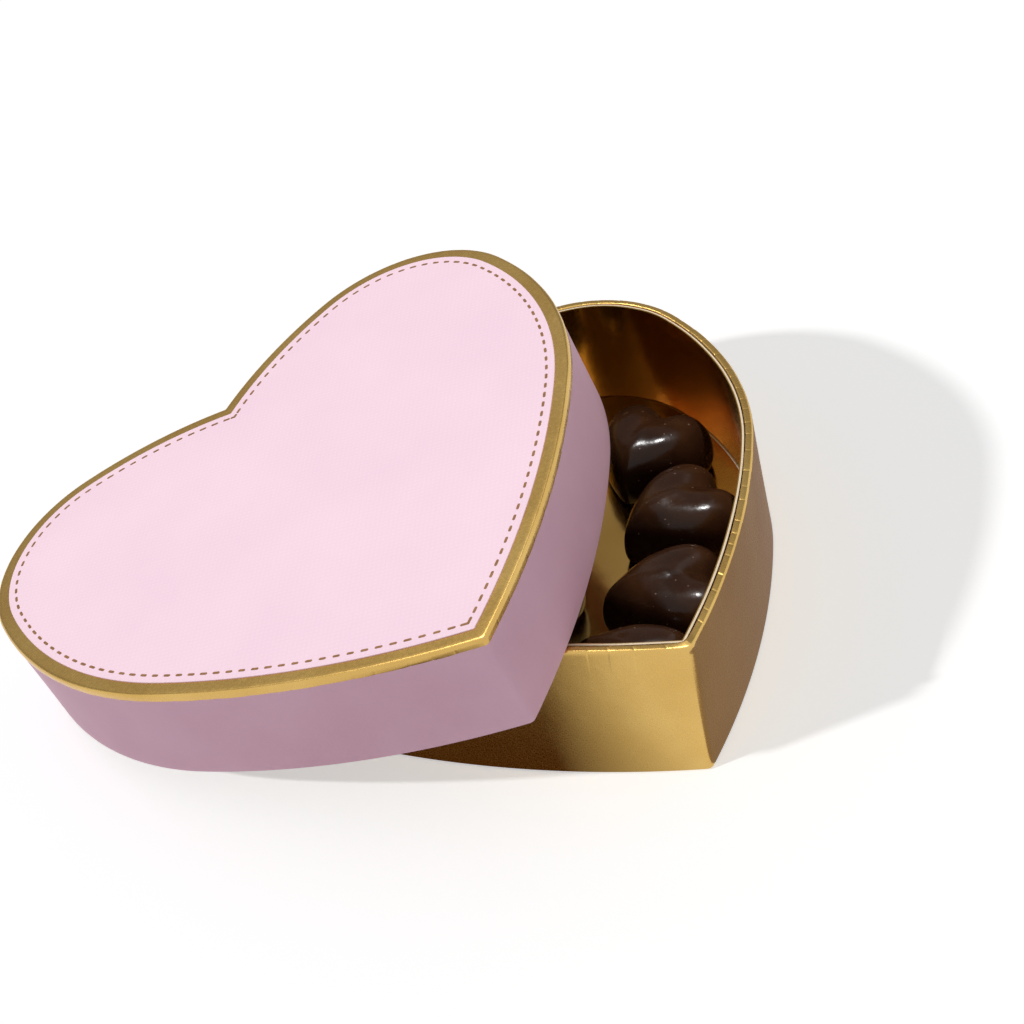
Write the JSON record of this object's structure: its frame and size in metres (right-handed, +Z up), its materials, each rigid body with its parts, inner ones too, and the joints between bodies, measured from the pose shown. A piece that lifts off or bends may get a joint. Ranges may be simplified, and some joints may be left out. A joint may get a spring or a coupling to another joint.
{
  "type": "heart gift box",
  "caption": "Open heart-shaped rigid paperboard gift box: a gold tray of dark chocolate hearts with its pink and gold lift-off lid leaning on it.",
  "frame": {"origin": "on the table under the middle of the tray, halfway between the heart's tip and the tops of its lobes", "axes": "+Z up, out of the tray; +Y from the heart's tip to its cleft; +X to the right seen from the tip"},
  "size_m": [0.2067, 0.1672, 0.0717],
  "materials": {
    "gold_foil_paper": "satin metallic gold foil laminated on paper",
    "mirror_gold_card": "mirror metallic gold film on card",
    "pink_paper": "smooth uncoated pink paper",
    "pink_card": "matte pink card with a fine grain",
    "greyboard": "bare solid greyboard",
    "lining_paper": "plain white paper",
    "dark_chocolate": "glossy moulded dark chocolate"
  },
  "bodies": {
    "tray": {"tray_under_sheet": "lining_paper", "tray_bottom_board": "greyboard", "tray_wall_board": "greyboard", "tray_gold_wrap": "gold_foil_paper", "tray_liner": "mirror_gold_card", "tray_floor_pad": "mirror_gold_card"},
    "lid": {"lid_top_board": "greyboard", "lid_wall_board": "greyboard", "lid_gold_top": "gold_foil_paper", "lid_pink_wall": "pink_paper", "lid_pink_panel": "pink_card", "lid_top_lining": "lining_paper", "lid_wall_lining": "lining_paper"},
    "chocolate_01": {"chocolate_01": "dark_chocolate"},
    "chocolate_02": {"chocolate_02": "dark_chocolate"},
    "chocolate_03": {"chocolate_03": "dark_chocolate"},
    "chocolate_04": {"chocolate_04": "dark_chocolate"},
    "chocolate_05": {"chocolate_05": "dark_chocolate"},
    "chocolate_06": {"chocolate_06": "dark_chocolate"},
    "chocolate_07": {"chocolate_07": "dark_chocolate"},
    "chocolate_08": {"chocolate_08": "dark_chocolate"},
    "chocolate_09": {"chocolate_09": "dark_chocolate"},
    "chocolate_10": {"chocolate_10": "dark_chocolate"}
  },
  "joints": [
    {"name": "lid_lift", "type": "slide", "parent": "tray", "child": "lid", "axis": [-0.2401, 0.1154, 0.9639], "range_m": [0, 0.06]},
    {"name": "chocolate_01_lift", "type": "slide", "parent": "tray", "child": "chocolate_01", "axis": [0, 0, 1], "range_m": [0, 0.045]},
    {"name": "chocolate_02_lift", "type": "slide", "parent": "tray", "child": "chocolate_02", "axis": [-0.0506, 0.0135, 0.9986], "range_m": [0, 0.045]},
    {"name": "chocolate_03_lift", "type": "slide", "parent": "tray", "child": "chocolate_03", "axis": [-0.0091, 0.0515, 0.9986], "range_m": [0, 0.024]},
    {"name": "chocolate_04_lift", "type": "slide", "parent": "tray", "child": "chocolate_04", "axis": [0, 0, 1], "range_m": [0, 0.017]},
    {"name": "chocolate_05_lift", "type": "slide", "parent": "tray", "child": "chocolate_05", "axis": [0.0698, 0, 0.9976], "range_m": [0, 0.034]},
    {"name": "chocolate_06_lift", "type": "slide", "parent": "tray", "child": "chocolate_06", "axis": [0.0698, 0, 0.9976], "range_m": [0, 0.028]},
    {"name": "chocolate_07_lift", "type": "slide", "parent": "tray", "child": "chocolate_07", "axis": [0, 0, 1], "range_m": [0, 0.023]},
    {"name": "chocolate_08_lift", "type": "slide", "parent": "tray", "child": "chocolate_08", "axis": [0, 0, 1], "range_m": [0, 0.031]},
    {"name": "chocolate_09_lift", "type": "slide", "parent": "tray", "child": "chocolate_09", "axis": [0, 0, 1], "range_m": [0, 0.033]},
    {"name": "chocolate_10_lift", "type": "slide", "parent": "tray", "child": "chocolate_10", "axis": [0, 0, 1], "range_m": [0, 0.038]}
  ]
}
